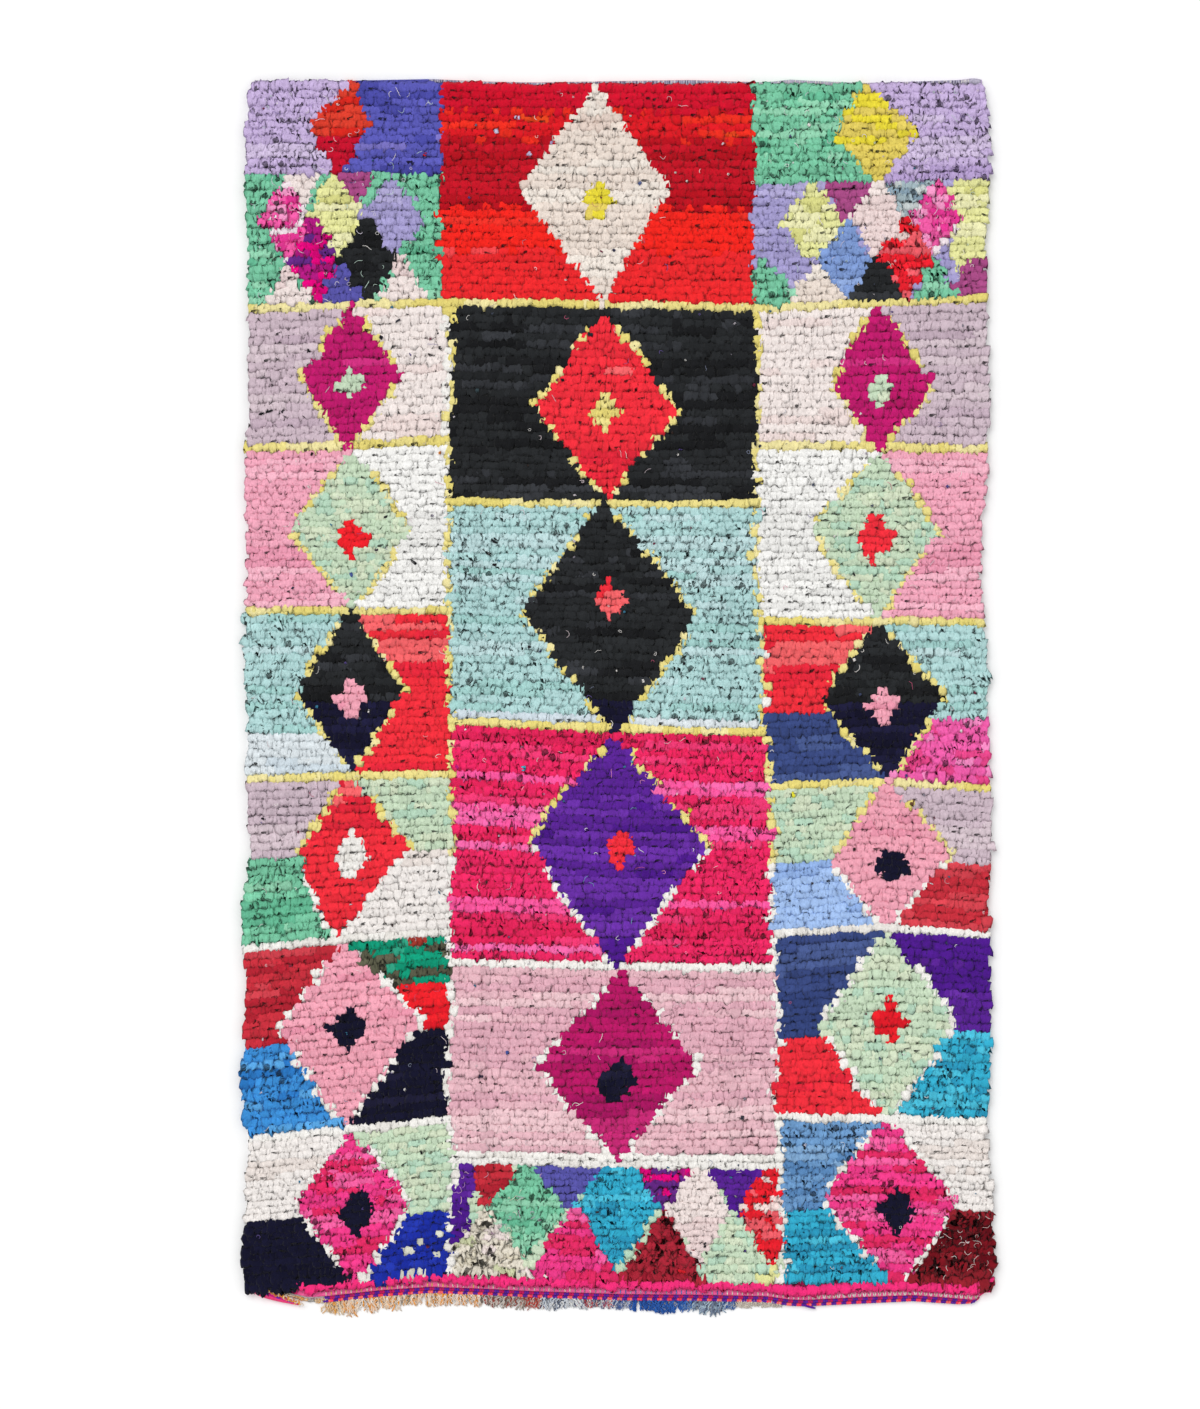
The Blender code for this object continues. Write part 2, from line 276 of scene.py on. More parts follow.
LOZENGES = (
    # (top (across, down), left, right, bottom, upper colour, lower colour, level, outline,
    #  motif (colour, across, down, width, height) or None)
    ((20.9, -0.8), (12.3, 9.4), (25.0, 9.4), (18.7, 18.9), "brick", "scarlet", 10.2, None, None),
    ((126.5, -0.8), (119.1, 10.5), (136.5, 9.6), (128.1, 20.7), "mustard", "mustard", 90, None, None),
    ((70.9, -0.6), (56.0, 21.5), (85.9, 21.5), (72.4, 46.0), "cream", "cream", 90, None,
     ("mustard", 71.5, 24.2, 5.3, 7.4)),
    ((20.5, 45.4), (10.5, 60.7), (30.5, 60.3), (20.5, 75.0), "magenta", "magenta", 90, "butter",
     ("pale_green", 20.3, 61.7, 4.9, 5.4)),
    ((72.6, 46.8), (58.6, 66.0), (87.1, 67.4), (73.6, 85.4), "coral_red", "coral_red", 90, "butter",
     ("butter", 72.4, 67.6, 5.7, 6.8)),
    ((128.5, 45.4), (118.9, 61.7), (139.6, 61.5), (128.7, 75.0), "magenta", "magenta", 90, "butter",
     ("pale_green", 128.7, 63.0, 4.7, 5.7)),
    ((21.3, 75.2), (9.2, 92.0), (33.4, 92.0), (21.3, 108.4), "pale_green", "pale_green", 190, "butter",
     ("tomato", 21.3, 93.5, 5.6, 7.0)),
    ((129.4, 75.2), (116.2, 90.8), (141.9, 91.6), (129.6, 108.6), "pale_green", "pale_green", 190, "butter",
     ("coral_red", 128.9, 92.5, 7.0, 8.6)),
    ((73.4, 85.4), (56.6, 108.7), (91.8, 108.7), (74.6, 133.2), "black", "navy", 126.7, "butter",
     ("coral_red", 74.2, 106.0, 5.7, 7.0)),
    ((21.5, 109.0), (10.2, 125.7), (31.6, 125.7), (21.1, 142.2), "black", "navy", 127.5, "butter",
     ("rose_pink", 21.1, 127.1, 5.9, 7.2)),
    ((128.9, 109.0), (117.3, 125.0), (141.7, 125.5), (130.4, 142.2), "black", "navy", 126.9, "butter",
     ("rose_pink", 129.6, 127.0, 6.4, 7.8)),
    ((74.6, 133.4), (56.6, 155.8), (92.9, 156.8), (75.4, 180.8), "purple", "purple", 290, "halves",
     ("coral_red", 75.2, 156.8, 5.7, 6.8)),
    ((20.9, 142.8), (9.6, 157.4), (31.6, 157.5), (18.9, 174.3), "coral_red", "coral_red", 290, "halves",
     ("chalk", 20.3, 158.5, 5.7, 8.6)),
    ((130.4, 142.8), (117.9, 159.1), (142.5, 158.3), (129.8, 174.6), "rose_pink", "rose_pink", 290, "halves",
     ("ink", 130.6, 160.9, 6.6, 6.4)),
    ((19.7, 174.8), (6.8, 190.9), (35.5, 192.3), (20.5, 211.9), "rose_pink", "rose_pink", 290, "chalk",
     ("ink", 20.5, 192.3, 6.4, 8.4)),
    ((130.0, 175.2), (116.0, 193.7), (143.3, 192.1), (131.4, 212.8), "pale_green", "pale_green", 290, "chalk",
     ("tomato", 130.4, 193.1, 5.6, 8.4)),
    ((76.0, 181.6), (59.4, 201.0), (91.8, 201.7), (75.4, 220.8), "old_magenta", "old_magenta", 290, "chalk",
     ("ink", 75.8, 204.4, 7.8, 8.4)),
    ((20.7, 212.8), (9.6, 227.1), (33.0, 229.4), (22.8, 245.4), "hot_pink", "hot_pink", 290, "chalk",
     ("ink", 22.1, 230.0, 6.0, 9.2)),
    ((130.6, 213.0), (116.4, 227.6), (143.9, 228.8), (131.2, 246.0), "hot_pink", "hot_pink", 290, "chalk",
     ("ink", 131.4, 230.4, 6.6, 7.8)),
)

PATCH_OVERLAP = 1.07
# Three compartments are patchworks of small lozenges, cut off by the compartment's edges.
PATCHWORKS = (
    # (left, right, top, bottom, ground, ((colour, across, down, half width, half height), ...))
    (0, 39.4, 18.4, 44.9, "mint", (
        ("shell", 11.7, 18.4, 3.6, 7.0),
        ("plum", 22.5, 18.4, 3.6, 7.0),
        ("sugar", 8.0, 27.9, 5.2, 8.6),
        ("lemon", 18.0, 27.0, 5.5, 9.2),
        ("lavender", 29.5, 27.9, 6.5, 9.0),
        ("berry_mix", 13.5, 36.2, 5.0, 8.7),
        ("black", 24.4, 36.2, 5.7, 8.7),
        ("shell", 8.0, 45.3, 4.8, 8.6),
        ("violet_blue", 18.9, 45.3, 4.9, 8.6),
        ("shell", 31.4, 45.3, 5.0, 9.8),
    )),
    (103.3, 151, 20.6, 44.9, "lavender", (
        ("lemon", 148.4, 26.0, 5.2, 30.0),
        ("plum", 148.9, 44.9, 6.4, 8.6),
        ("mint", 106.0, 45.2, 8.6, 9.0),
        ("lemon", 115.8, 28.3, 6.0, 8.2),
        ("plum", 122.4, 20.4, 5.0, 7.6),
        ("shell", 128.9, 27.7, 5.4, 7.8),
        ("grey_blue_mix", 134.5, 20.4, 4.8, 7.4),
        ("sugar", 140.8, 27.9, 5.3, 8.0),
        ("blue", 122.4, 36.3, 5.4, 8.2),
        ("red_mix", 134.7, 35.9, 5.7, 8.4),
        ("cream", 116.2, 44.9, 6.2, 8.0),
        ("black", 128.7, 44.9, 5.7, 9.4),
        ("mint", 140.6, 44.9, 4.8, 9.0),
    )),
    (41.6, 108.6, 221.2, 245.0, "pale_green", (
        ("purple", 42.2, 220.8, 4.7, 28.0),
        ("shag_cream", 48.4, 245.9, 9.6, 15.4),
        ("crimson", 49.4, 220.8, 5.0, 11.2),
        ("mint", 56.8, 230.4, 7.6, 10.2),
        ("hot_pink", 66.4, 245.9, 9.9, 15.4),
        ("violet_blue", 65.0, 220.8, 7.6, 9.4),
        ("garnet_mix", 84.3, 245.9, 8.6, 15.2),
        ("berry_mix", 84.0, 220.8, 6.6, 9.8),
        ("cyan", 74.8, 229.8, 8.0, 12.0),
        ("shell", 91.4, 230.4, 6.3, 10.0),
        ("purple", 99.4, 220.8, 6.6, 10.0),
        ("pale_green", 98.4, 245.9, 6.4, 15.0),
        ("red_mix", 105.8, 230.6, 5.8, 11.2),
        ("lemon", 106.4, 246.6, 4.6, 5.2),
    )),
)

RED_BANDS = ((5.7, "deep_red"), (11.3, "orange_red"), (25.2, "dark_red"), (34.4, "bright_red"), (60, "coral"))
PINK_BANDS_LEFT = ((143.0, 144.6), (148.2, 153.2), (156.0, 157.4), (167.2, 170.6), (176.0, 178.0))
PINK_BANDS_RIGHT = ((143.0, 145.2), (151.2, 154.4), (168.0, 169.6))

# Rows of one colour between compartments, and the border knots up the sides of the middle column.
LINES_LEFT = ((45.7, "butter"), (75.0, "butter"), (108.7, "butter"), (142.5, "butter"), (174.9, "chalk"),
              (212.8, "chalk"))
LINES_MIDDLE = ((45.7, "butter"), (85.9, "butter"), (132.2, "butter"), (181.0, "chalk"), (220.4, "chalk"))
LINES_RIGHT = ((45.7, "butter"), (75.0, "butter"), (108.7, "butter"), (142.5, "butter"), (174.9, "chalk"),
               (212.8, "chalk"))
LEFT_BORDER = ((0, 39.6), (17, 38.4), (27, 38.2), (36, 39.6), (44, 40.6), (47, 40.9), (110, 41.0),
               (180, 41.2), (246, 41.8))
RIGHT_BORDER = ((0, 103.3), (46, 103.6), (100, 104.6), (133, 105.6), (180, 107.2), (220, 108.4), (246, 108.8))
BORDER_CHANGES = 160.0  # above this the borders are butter yellow, below it chalk white

# Where the rug was long folded, in centimetres: one line of gaps, and marks where the pile is duller.
FOLD_GAP = 72.3
FOLD_MARKS = ((47.4, 87, 131), (98.8, 87, 131), (48.4, 182, 219), (99.2, 182, 219))


def linear(shade):
    """A shade written as sRGB hex, as linear colour."""
    value = np.array([int(shade[i:i + 2], 16) / 255 for i in (0, 2, 4)])
    return np.where(value <= 0.04045, value / 12.92, ((value + 0.055) / 1.055) ** 2.4)


def row_list():
    """Centimetres down of each row's crest."""
    rows, down = [], 0.8
    for until, spacing in ROW_SPACING:
        while down < until:
            rows.append(down)
            down += spacing / 10 * (1 + 0.05 * math.sin(2.7 * len(rows)))
    rows[-1] = (rows[-2] + LAST_ROW) / 2
    return rows + [LAST_ROW]


def lozenge_edge(corners, down):
    """The two sides of a lozenge at that level, or None past its tips."""
    top, left, right, bottom = corners
    if not top[1] < down < bottom[1]:
        return None
    sides = []
    for side in (left, right):
        if down < side[1]:
            share = (down - top[1]) / (side[1] - top[1])
            sides.append(top[0] + (side[0] - top[0]) * share)
        else:
            share = (down - side[1]) / (bottom[1] - side[1])
            sides.append(side[0] + (bottom[0] - side[0]) * share)
    return sides


def line_at(lines, down, spacing):
    for level, colour in lines:
        if abs(down - level) <= spacing / 2:
            return colour
    return None


def ground_colour(across, down):
    for left, right, top, bottom, ground, patches in PATCHWORKS:
        if left <= across < right and top <= down < bottom + 0.6:
            colour = ground
            for shade, centre, level, half_width, half_height in patches:
                if abs(across - centre) / half_width + abs(down - level) / half_height < PATCH_OVERLAP:
                    colour = shade
            return colour
    for left, right, top, bottom, on_left, on_right in PANELS:
        if left <= across < right and top - 0.9 <= down < bottom + 0.9:
            middle = next(
                ((c[0][0] + c[3][0]) / 2 for c in (l[:4] for l in LOZENGES)
                 if left < c[0][0] < right and top < c[1][1] < bottom), (left + right) / 2)
            upper, lower, level = on_left if across < middle else on_right
            colour = upper if down < level else lower
            if colour == "deep_red":
                level = down + 1.3 * math.sin(0.9 * across) * math.sin(0.31 * across + down)
                colour = next(name for until, name in RED_BANDS if level < until)
            if colour == "tomato" and down < 184:
                colour = "moss_mix"
            bands = PINK_BANDS_LEFT if across < middle else PINK_BANDS_RIGHT
            if colour == "raspberry" and any(low < down < high for low, high in bands):
                colour = "bubblegum"
            return colour
    return "chalk"


def charted(across, down, row, spacing):
    """The rag that the knot at that place is tied from."""
    if down > 245.3:
        return "berry_stripe" if across > 9.5 else "ink"
    left = float(np.interp(down, *zip(*LEFT_BORDER)))
    right = float(np.interp(down, *zip(*RIGHT_BORDER)))
    lines = LINES_LEFT if across < left else LINES_RIGHT if across > right else LINES_MIDDLE
    line = line_at(lines, down, spacing)
    for top, at_left, at_right, bottom, upper, lower, level, outline, motif in LOZENGES:
        edges = lozenge_edge((top, at_left, at_right, bottom), down)
        if edges is None or not edges[0] - 1.6 < across < edges[1] + 1.6:
            continue
        if motif and abs(across - motif[1]) / motif[3] + abs(down - motif[2]) / motif[4] < 0.62:
            return motif[0]
        if edges[0] <= across <= edges[1]:
            return upper if down < level else lower
        past = max(edges[0] - across, across - edges[1])
        gone = (row * 7 + (3 if across < edges[0] else 0)) % 11 in (2, 6)
        if outline and not gone and down - top[1] > 2.4 and bottom[1] - down > 1.0 and past < 1.15:
            halves = "butter" if down < at_left[1] + 1 else "chalk"
            return halves if outline == "halves" else outline
    if line:
        return line
    for border in (left, right):
        if down > 44.5 and abs(across - border) < 0.56 and row % 6 != 2:
            return "butter" if down < BORDER_CHANGES else "chalk"
    return ground_colour(across, down)


# ---------------------------------------------------------------- meshes
def new_object(name, mesh, material):
    piece = bpy.data.objects.new(name, mesh)
    bpy.context.scene.collection.objects.link(piece)
    mesh.materials.append(material)
    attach(piece, "root")
    return piece


def read_shape(bm):
    """The points of a closed shape made with bmesh, and its faces as corners, starts and totals."""
    bmesh.ops.recalc_face_normals(bm, faces=bm.faces)
    bm.verts.index_update()
    points = np.array([v.co for v in bm.verts])
    faces = [[v.index for v in f.verts] for f in bm.faces]
    bm.free()
    totals = np.array([len(face) for face in faces])
    starts = np.cumsum(totals) - totals
    return points, (np.concatenate(faces), starts, totals)


def join_copies(name, points, faces, colours, material):
    """One mesh of many copies of a shape: points and linear colours are by copy, by vertex."""
    corners, starts, totals = faces
    count, vertices = points.shape[:2]
    mesh = bpy.data.meshes.new(name)
    mesh.vertices.add(count * vertices)
    mesh.vertices.foreach_set("co", points.astype(np.float32).ravel())
    mesh.loops.add(count * len(corners))
    all_corners = np.arange(count)[:, None] * vertices + corners[None, :]
    mesh.loops.foreach_set("vertex_index", all_corners.astype(np.int32).ravel())
    mesh.polygons.add(count * len(starts))
    all_starts = np.arange(count)[:, None] * len(corners) + starts[None, :]
    mesh.polygons.foreach_set("loop_start", all_starts.astype(np.int32).ravel())
    mesh.polygons.foreach_set("loop_total", np.tile(totals, count).astype(np.int32))
    mesh.polygons.foreach_set("use_smooth", np.ones(count * len(starts), bool))
    mesh.update(calc_edges=True)
    dye = mesh.color_attributes.new("dye", "FLOAT_COLOR", "POINT")
    full = np.ones((count * vertices, 4), np.float32)
    full[:, :3] = colours.reshape(-1, 3)
    dye.data.foreach_set("color", full.ravel())
    return new_object(name, mesh, material)


KNOT_COLUMNS, KNOT_LEVELS = 5, 4
# A knot from its root to its lip: along the rug in shares of the row spacing, height and breadth.
KNOT_PROFILE = ((0.56, 0.0122, 0.46), (0.18, 0.0176, 0.55), (-0.42, 0.0192, 0.57), (-0.86, 0.0162, 0.52))
SIDE_DROOP = 0.0012
KINDS = (
    # (crease depth, uneven height, ragged lip in shares of the row spacing)
    (0.0011, 0.0006, 0.110),
    (0.0017, 0.0010, 0.150),
    (0.0024, 0.0017, 0.200),
)
SHAPES_TO_A_KIND = 24


def knot_shape(kind, seed):
    """One folded end of a rag strip, a closed shape a knot wide and a row long."""
    rng = np.random.default_rng(seed)
    crease, uneven, ragged = KINDS[kind]
    point = rng.uniform(-0.6, 0.6)  # where the lip is longest
    pointed = rng.uniform(-0.04, 0.14)
    folds = rng.uniform(-0.5, 1.0, KNOT_COLUMNS) * crease
    folds[2] += crease * 0.6
    bm = bmesh.new()
    bmesh.ops.create_grid(bm, x_segments=KNOT_COLUMNS - 1, y_segments=KNOT_LEVELS - 1, size=0.5)
    for vertex in bm.verts:
        column = round((vertex.co.x + 0.5) * (KNOT_COLUMNS - 1))
        level = round((0.5 - vertex.co.y) * (KNOT_LEVELS - 1))
        side = column / (KNOT_COLUMNS - 1) * 2 - 1
        along, height, breadth = KNOT_PROFILE[level]
        across = breadth * side + rng.normal(0, 0.07)
        if level > 0:
            height -= SIDE_DROOP * side ** 4 + folds[column]
            height += rng.normal(0, uneven)
        if level == KNOT_LEVELS - 1:
            along += rng.normal(0, ragged) - pointed * (1 - abs(side - point))
            height += rng.normal(0, 2 * uneven)
        vertex.co = (across, along + rng.normal(0, 0.05), max(height, 0.006))
    bmesh.ops.holes_fill(bm, edges=[e for e in bm.edges if e.is_boundary], sides=0)
    return read_shape(bm)


def knot_levels():
    """How far each vertex of a knot is from root to lip, and from left to right, both 0 to 1."""
    bm = bmesh.new()
    bmesh.ops.create_grid(bm, x_segments=KNOT_COLUMNS - 1, y_segments=KNOT_LEVELS - 1, size=0.5)
    found = [(0.5 - v.co.y, v.co.x + 0.5) for v in bm.verts]
    bm.free()
    return np.array(found)


def tie_knots(rng):
    """Every knot as a dict of arrays: its chart place, its rag, its colour and how it lies."""
    rows = row_list()
    spacings = np.gradient(np.array(rows))
    names = ("row", "column", "x", "y", "spacing", "kind", "turn", "wide", "long", "lift")
    found = {name: [] for name in names}
    colours = []
    carried = {}
    for row, down in enumerate(rows):
        last = row == len(rows) - 1
        spacing = LAST_SPACING if last else spacings[row]
        shift = rng.uniform(-0.2, 0.2)
        wave = rng.uniform(0, 6.28)
        wander = rng.normal(0, 0.20)
        row_tone = {}
        for column in range(KNOTS_ACROSS):
            across = (column + 0.5 + shift) * KNOT_WIDTH * 100
            rag = charted(across + wander, down, row, spacing)
            kind, run, uneven, shades = RAGS[rag]
            if rag not in row_tone:
                row_tone[rag] = rng.normal(0, uneven * 0.6)
            kept = carried.get(rag)
            if kept is None or kept[1] <= 0:
                weights = np.array([weight for _, weight in shades], float)
                pick = rng.choice(len(shades), p=weights / weights.sum())
                kept = [pick, rng.exponential(run)]
                carried[rag] = kept
            kept[1] -= 1
            tone = 1 + row_tone[rag] + rng.normal(0, uneven * 0.7)
            narrow = 0.70 if 45 < down < 128 and abs(across - FOLD_GAP) < 2.2 else 1.0
            if any(low < down < high and abs(across - place) < 1.4 for place, low, high in FOLD_MARKS):
                tone *= 0.92
            colours.append(linear(shades[kept[0]][0]) * tone)
            x, y = on_rug(across, down)
            if last:
                y = lower_y(x) + 0.84 * LAST_SPACING / 100
                y += float(np.interp(x - MIDDLE, (-0.69, -0.66), (CORNER_BAND, BAND_WIDTH)))
            loose = (0.18, 0.28, 0.42)[kind]
            ripple = 0.0012 * math.sin(wave + column * 0.23) + 0.0010 * math.sin(3 * wave + column * 0.71)
            at_edge = column in (0, KNOTS_ACROSS - 1)
            found["row"].append(row)
            found["column"].append(column)
            found["x"].append(x + rng.normal(0, 0.0026 if at_edge else 0.0008))
            found["y"].append(y + ripple + rng.normal(0, 0.0011))
            found["spacing"].append(spacing / 100)
            found["kind"].append(kind * SHAPES_TO_A_KIND + rng.integers(SHAPES_TO_A_KIND))
            found["turn"].append(rng.normal(0, loose))
            found["wide"].append(KNOT_WIDTH * rng.uniform(1.30, 1.85) * narrow)
            found["long"].append(rng.uniform(0.86, 1.20))
            found["lift"].append(rng.normal(0, 0.0007 + 0.0004 * kind))
    knots = {key: np.array(value) for key, value in found.items()}
    knots["colour"] = np.clip(np.array(colours), 0, 1)
    return knots


def lay_knots(knots, shapes, levels):
    """The points and colours of the knots: each a turned and stretched copy of its shape, its colour darkened
    towards the root as painted shade where it tucks under the row above.
    """
    points = shapes[knots["kind"]].copy()
    points[:, :, 0] *= knots["wide"][:, None]
    points[:, :, 1] *= (knots["spacing"] * knots["long"])[:, None]
    cosine, sine = np.cos(knots["turn"])[:, None], np.sin(knots["turn"])[:, None]
    x = points[:, :, 0] * cosine - points[:, :, 1] * sine + knots["x"][:, None]
    y = points[:, :, 0] * sine + points[:, :, 1] * cosine + knots["y"][:, None]
    z = points[:, :, 2] + knots["lift"][:, None] * (levels[:, 0] > 0.1)[None, :]
    # Painted shade: each knot is darkest at its root, under the lip of the row above, full at the lip and a
    # touch lighter at the crown.
    shade = np.interp(levels[:, 0], (0, 0.34, 0.67, 1), (0.88, 0.99, 1.01, 1.0))
    return np.stack([x, y, z], 2), knots["colour"][:, None, :] * shade[None, :, None]


def pile_piece(name, knots, shapes, faces, levels, material):
    """A band of rows as one mesh, with a cell of its bake map for each knot."""
    points, colours = lay_knots(knots, shapes, levels)
    piece = join_copies(name, points, faces, colours, material)
    corners, _, totals = faces
    rows = knots["row"] - knots["row"].min()
    row_count = rows.max() + 1
    inside = np.empty((len(corners), 2))
    inside[:, 0] = (0.06 + 0.88 * levels[corners, 1]) / KNOTS_ACROSS
    inside[:, 1] = (0.94 - 0.80 * levels[corners, 0]) / row_count
    under = np.repeat(totals > 4, totals)
    inside[under, 1] = (0.01 + 0.05 * levels[corners[under], 0]) / row_count
    cell = np.stack([knots["column"] / KNOTS_ACROSS, rows / row_count], 1)
    places = cell[:, None, :] + inside[None, :, :]
    layer = piece.data.uv_layers.new(name="OFBake", do_init=False)
    layer.uv.foreach_set("vector", places.astype(np.float32).ravel())
    return piece


# ---------------------------------------------------------------- materials
def node(material, kind, **settings):
    """A new node with its settings, each either an attribute or the value of an input."""
    made = material.node_tree.nodes.new(kind)
    for name, value in settings.items():
        label = name.replace("_", " ").title()
        if hasattr(made, name):
            setattr(made, name, value)
        else:
            made.inputs[label].default_value = value
    return made


def cloth(name, roughness, sheen, fuzz, painted_crease_shade, lint_scale, bump):
    """Dyed cloth: its own dye, mottled, with painted shade darkening it along the valleys of the folds, under
    a fine knit and lint.
    """
    material = bpy.data.materials.new(name)
    material.use_nodes = True
    links = material.node_tree.links
    shader = material.node_tree.nodes["Principled BSDF"]
    shader.inputs["Roughness"].default_value = roughness
    shader.inputs["Sheen Weight"].default_value = sheen
    shader.inputs["Sheen Roughness"].default_value = 0.5
    shader.inputs["Specular IOR Level"].default_value = 0.06
    place = node(material, "ShaderNodeTexCoord")
    dye = node(material, "ShaderNodeVertexColor", layer_name="dye")
    mottle = node(material, "ShaderNodeTexNoise", scale=150.0, detail=3.0)
    links.new(place.outputs["Object"], mottle.inputs["Vector"])
    spread = node(material, "ShaderNodeMapRange", from_min=0.3, from_max=0.7, to_min=1 - fuzz,
                  to_max=1 + fuzz)
    links.new(mottle.outputs["Fac"], spread.inputs["Value"])
    along = node(material, "ShaderNodeMapping")
    along.inputs["Scale"].default_value = (230.0, 120.0, 150.0)
    links.new(place.outputs["Object"], along.inputs["Vector"])
    folds = node(material, "ShaderNodeTexNoise", scale=1.0, detail=2.0, distortion=0.8)
    links.new(along.outputs["Vector"], folds.inputs["Vector"])
    middle = node(material, "ShaderNodeMath", operation="SUBTRACT")
    middle.inputs[1].default_value = 0.5
    links.new(folds.outputs["Fac"], middle.inputs[0])
    ridge = node(material, "ShaderNodeMath", operation="ABSOLUTE")
    links.new(middle.outputs["Value"], ridge.inputs[0])
    # Painted shade: the colour is darkened in the narrow valleys of the fold noise, standing in for shadow in
    # the creases; the same ridges also drive the bump.
    painted_crease_ramp = node(material, "ShaderNodeMapRange", from_min=0.0, from_max=0.05, to_min=1 - painted_crease_shade, to_max=1.0)
    painted_crease_ramp.interpolation_type = "SMOOTHSTEP"
    links.new(ridge.outputs["Value"], painted_crease_ramp.inputs["Value"])
    shade = node(material, "ShaderNodeMath", operation="MULTIPLY")
    links.new(spread.outputs["Result"], shade.inputs[0])
    links.new(painted_crease_ramp.outputs["Result"], shade.inputs[1])
    tone = node(material, "ShaderNodeVectorMath", operation="SCALE")
    links.new(dye.outputs["Color"], tone.inputs[0])
    links.new(shade.outputs["Value"], tone.inputs["Scale"])
    links.new(tone.outputs["Vector"], shader.inputs["Base Color"])
    lint = node(material, "ShaderNodeTexNoise", scale=lint_scale, detail=4.0)
    links.new(place.outputs["Object"], lint.inputs["Vector"])
    relief = node(material, "ShaderNodeMath", operation="MULTIPLY_ADD")
    relief.inputs[1].default_value = 8.0
    links.new(ridge.outputs["Value"], relief.inputs[0])
    links.new(lint.outputs["Fac"], relief.inputs[2])
    dent = node(material, "ShaderNodeBump", strength=bump, distance=0.0008)
    links.new(relief.outputs["Value"], dent.inputs["Height"])
    links.new(dent.outputs["Normal"], shader.inputs["Normal"])
    return material


# ---------------------------------------------------------------- the ground
def make_ground(knots, material):
    """The woven ground: one cell to a knot underneath, where the knots' backs show their colours, a little
    darkened as painted shade.
    """
    rows = row_list()
    levels = [0.0] + [(a + b) / 2 for a, b in zip(rows, rows[1:])] + [248.4]
    bm = bmesh.new()
    bmesh.ops.create_grid(bm, x_segments=KNOTS_ACROSS, y_segments=len(rows), size=0.5)
    dye = bm.verts.layers.float_color.new("dye")
    by_place = {(r, c): colour for r, c, colour in zip(knots["row"], knots["column"], knots["colour"])}
    for vertex in bm.verts:
        column = round((vertex.co.x + 0.5) * KNOTS_ACROSS)
        row = round((0.5 - vertex.co.y) * len(rows))
        x, y = on_rug(column * KNOT_WIDTH * 100, levels[row])
        if row == 0:
            y = upper_y(x)
        if row == len(rows):
            y = lower_y(x)
        y = max(y, lower_y(x))
        vertex.co = (x, y, 0.0 if (row + column) % 2 else 0.0006)
        shade = by_place[(min(row, len(rows) - 1), min(column, KNOTS_ACROSS - 1))]
        # Painted shade: the ground takes the colour of the knot over it, darkened to 0.8 on the underside.
        vertex[dye] = (*(shade * 0.8), 1)
    under = list(bm.faces)
    raised = bmesh.ops.extrude_face_region(bm, geom=under)
    tops = [item for item in raised["geom"] if isinstance(item, bmesh.types.BMVert)]
    for vertex in tops:
        vertex.co.z = GROUND_THICKNESS
        # Painted shade: the top comes back to 0.96 of the knot's colour, slightly darker in the gaps between
        # rows.
        vertex[dye] = (*(1.2 * Vector(vertex[dye][:3])), 1)
    bmesh.ops.recalc_face_normals(bm, faces=bm.faces)
    mesh = bpy.data.meshes.new("ground")
    bm.to_mesh(mesh)
    bm.free()
    return new_object("ground", mesh, material)


# ---------------------------------------------------------------- yarns and ends
def strand_shape(sides, steps):
    """A yarn of unit radius with a ring at each step of its path: for each vertex its step and turn."""
    bm = bmesh.new()
    ring = bmesh.ops.create_circle(bm, segments=sides, radius=1.0)["verts"]
    edges = list({edge for vertex in ring for edge in vertex.link_edges})
    for step in range(steps):
        grown = bmesh.ops.extrude_edge_only(bm, edges=edges)["geom"]
        moved = [item for item in grown if isinstance(item, bmesh.types.BMVert)]
        bmesh.ops.translate(bm, vec=(0, 0, 1), verts=moved)
        edges = [e for v in moved for e in v.link_edges if all(w in moved for w in e.verts)]
        edges = list(set(edges))
    bmesh.ops.holes_fill(bm, edges=[e for e in bm.edges if e.is_boundary], sides=0)
    points, faces = read_shape(bm)
    return np.round(points[:, 2]).astype(int), np.arctan2(points[:, 1], points[:, 0]), faces


def make_strands(name, paths, radii, colours, material, sides=4):
    """Yarns along paths, all of as many points; colours are by strand, by point of its path."""
    paths, radii, colours = np.array(paths), np.array(radii), np.array(colours)
    step, turn, faces = strand_shape(sides, paths.shape[1] - 1)
    forward = np.gradient(paths, axis=1)
    forward /= np.linalg.norm(forward, axis=2, keepdims=True)
    sideways = np.cross(forward, (0.02, 0.01, 1.0))
    sideways /= np.linalg.norm(sideways, axis=2, keepdims=True)
    upward = np.cross(forward, sideways)
    taper = np.ones(paths.shape[1])
    taper[[0, -1]] = 0.7
    size = radii[:, None, None] * taper[step][None, :, None]
    ring = np.cos(turn)[None, :, None] * sideways[:, step] + np.sin(turn)[None, :, None] * upward[:, step]
    points = paths[:, step] + size * ring
    points[:, :, 2] = np.maximum(points[:, :, 2], 0.0002)
    return join_copies(name, points, faces, colours[:, step], material)


def pick(rng, shades, spread=0.08):
    """One of the shades, a little lighter or darker."""
    return linear(shades[rng.integers(len(shades))]) * rng.uniform(1 - spread, 1 + spread)


EDGING_START, EDGING_END = -0.600, 0.742
STITCH = 0.0051  # one twist of the edging yarns
TWIST = 0.42  # how far each twist leans, in radians
PURPLE_YARN, UPPER_YARN, LOWER_YARN = ("5A1E96", "5F2499"), ("B41C66", "C2185E"), ("F5405A", "F86A6A")


def edging_half_width(x):
    """Half the width of the twined edging, which fades out at the right-hand corner."""
    return float(np.interp(x - MIDDLE, (-0.63, -0.60, 0.36, 0.50, 0.70, 0.745),
                           (0.0045, 0.0065, 0.0062, 0.0065, 0.0055, 0.0020)))


